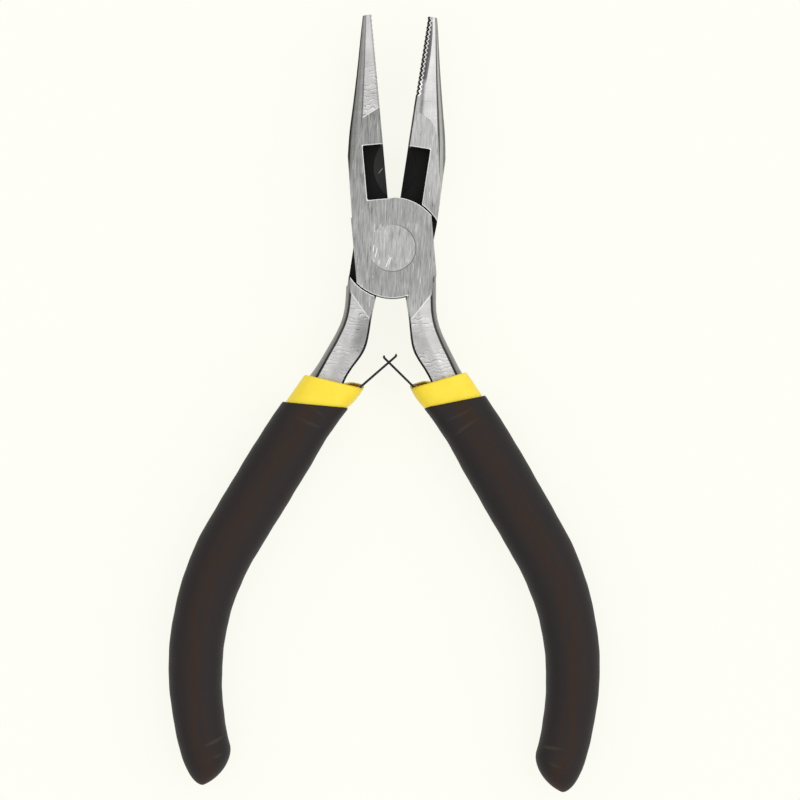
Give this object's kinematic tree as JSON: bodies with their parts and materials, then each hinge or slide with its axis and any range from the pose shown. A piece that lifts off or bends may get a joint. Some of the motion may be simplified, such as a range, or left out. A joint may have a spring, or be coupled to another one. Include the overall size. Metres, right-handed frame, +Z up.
{
  "type": "needle nose pliers",
  "caption": "Mini needle nose pliers: flush-riveted lap joint, side cutter, toothed tips, two-colour dipped grips and crossed leaf springs that push the handles open.",
  "frame": {"origin": "centre of the bounding box's underside, on the surface that the pliers lie on; the pivot axis is 24.7 mm up +Y from it", "axes": "+Y along the bisector of the open jaws, towards the tips; +Z up out of the front face, parallel to the pivot axis; +X to the right seen from the front"},
  "size_m": [0.069, 0.1241, 0.0098],
  "materials": {
    "forged_steel": "ground flats, raw forged nose and tangs, black oxide recesses",
    "forged_steel_rear": "ground flats, raw forged nose and tangs, black oxide recesses and lap face",
    "rivet_steel": "ground flush with the joint",
    "yellow_pvc": "dipped soft vinyl, satin",
    "black_pvc": "dipped soft vinyl, fine mottled surface",
    "spring_steel": "blackened spring temper",
    "small_rivet_steel": "plain"
  },
  "bodies": {
    "front": {"front_half": "forged_steel", "pivot_rivet": "rivet_steel", "right_inner_sleeve": "yellow_pvc", "right_outer_grip": "black_pvc", "right_spring_rivet": "small_rivet_steel"},
    "rear": {"rear_half": "forged_steel_rear", "left_inner_sleeve": "yellow_pvc", "left_outer_grip": "black_pvc", "left_spring_rivet": "small_rivet_steel"},
    "right_leaf": {"right_leaf_spring": "spring_steel"},
    "left_leaf": {"left_leaf_spring": "spring_steel"}
  },
  "joints": [
    {"name": "pivot", "type": "hinge", "parent": "front", "child": "rear", "pos_m": [-0.00079, 0.02472, 0.0049], "axis": [0, 0, 1], "range_deg": [-3, 13.8], "stiffness_Nm_per_rad": 1.2},
    {"name": "right_leaf_flex", "type": "hinge", "parent": "front", "child": "right_leaf", "pos_m": [0.00768, -0.00132, 0.0049], "axis": [0, 0, 1], "range_deg": [-13.2, 2.9], "deforming": ["right_leaf_spring"]},
    {"name": "left_leaf_flex", "type": "hinge", "parent": "rear", "child": "left_leaf", "pos_m": [-0.00926, -0.00132, 0.0049], "axis": [0, 0, 1], "range_deg": [-2.9, 13.2], "deforming": ["left_leaf_spring"]}
  ],
  "couplings": [
    {"joint": "right_leaf_flex", "follows": "pivot", "ratio": -0.95},
    {"joint": "left_leaf_flex", "follows": "pivot", "ratio": 0.95}
  ]
}
